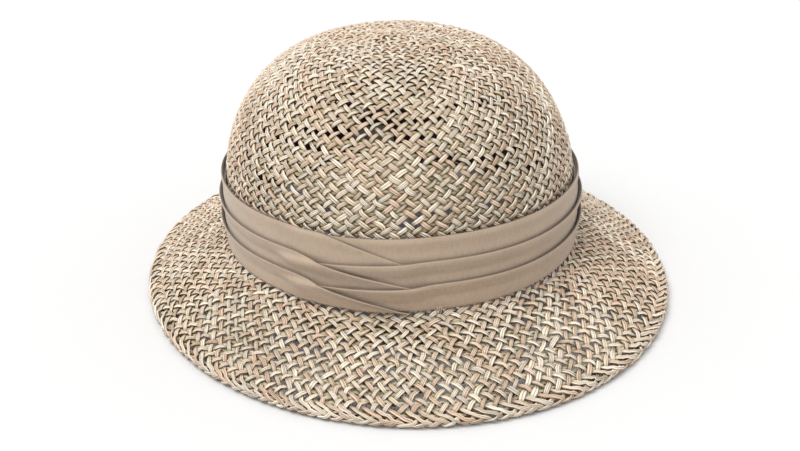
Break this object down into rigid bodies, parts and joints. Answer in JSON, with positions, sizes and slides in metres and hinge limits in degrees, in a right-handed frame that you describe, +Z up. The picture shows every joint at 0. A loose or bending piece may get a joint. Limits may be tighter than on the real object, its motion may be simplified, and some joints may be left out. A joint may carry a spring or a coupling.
{
  "type": "woven straw sun hat",
  "caption": "Round-crowned woven straw sun hat with a sloping brim, a turned edge and a wide pleated cotton band wrapped round the crown.",
  "frame": {"origin": "centre of the brim's outline, on the plane that the brim edge rests on", "axes": "+Z up through the crown, +Y towards the back of the hat, so the front faces -Y, and +X towards the left of the person wearing it"},
  "size_m": [0.262, 0.335, 0.122],
  "materials": {
    "straw": "plain-woven seagrass strands, dry and slightly glossy",
    "band_cotton": "matt cotton twill",
    "buckram": "stiffened open-weave cotton",
    "sweatband_cotton": "matt cotton twill tape",
    "label_tape": "smooth woven tape, left blank",
    "thread": "twisted sewing thread",
    "edge_wire": "drawn steel wire"
  },
  "bodies": {
    "root": {"woven_crown": "straw", "woven_brim": "straw", "brim_wire": "edge_wire", "edge_thread": "thread", "band_lining": "buckram", "band_top_pleat": "band_cotton", "band_middle_pleat": "band_cotton", "band_bottom_pleat": "band_cotton", "band_tack_front": "thread", "band_tack_right": "thread", "band_tack_back": "thread", "band_tack_left": "thread", "sweatband": "sweatband_cotton", "sweatband_thread": "thread", "size_label": "label_tape"}
  },
  "joints": []
}
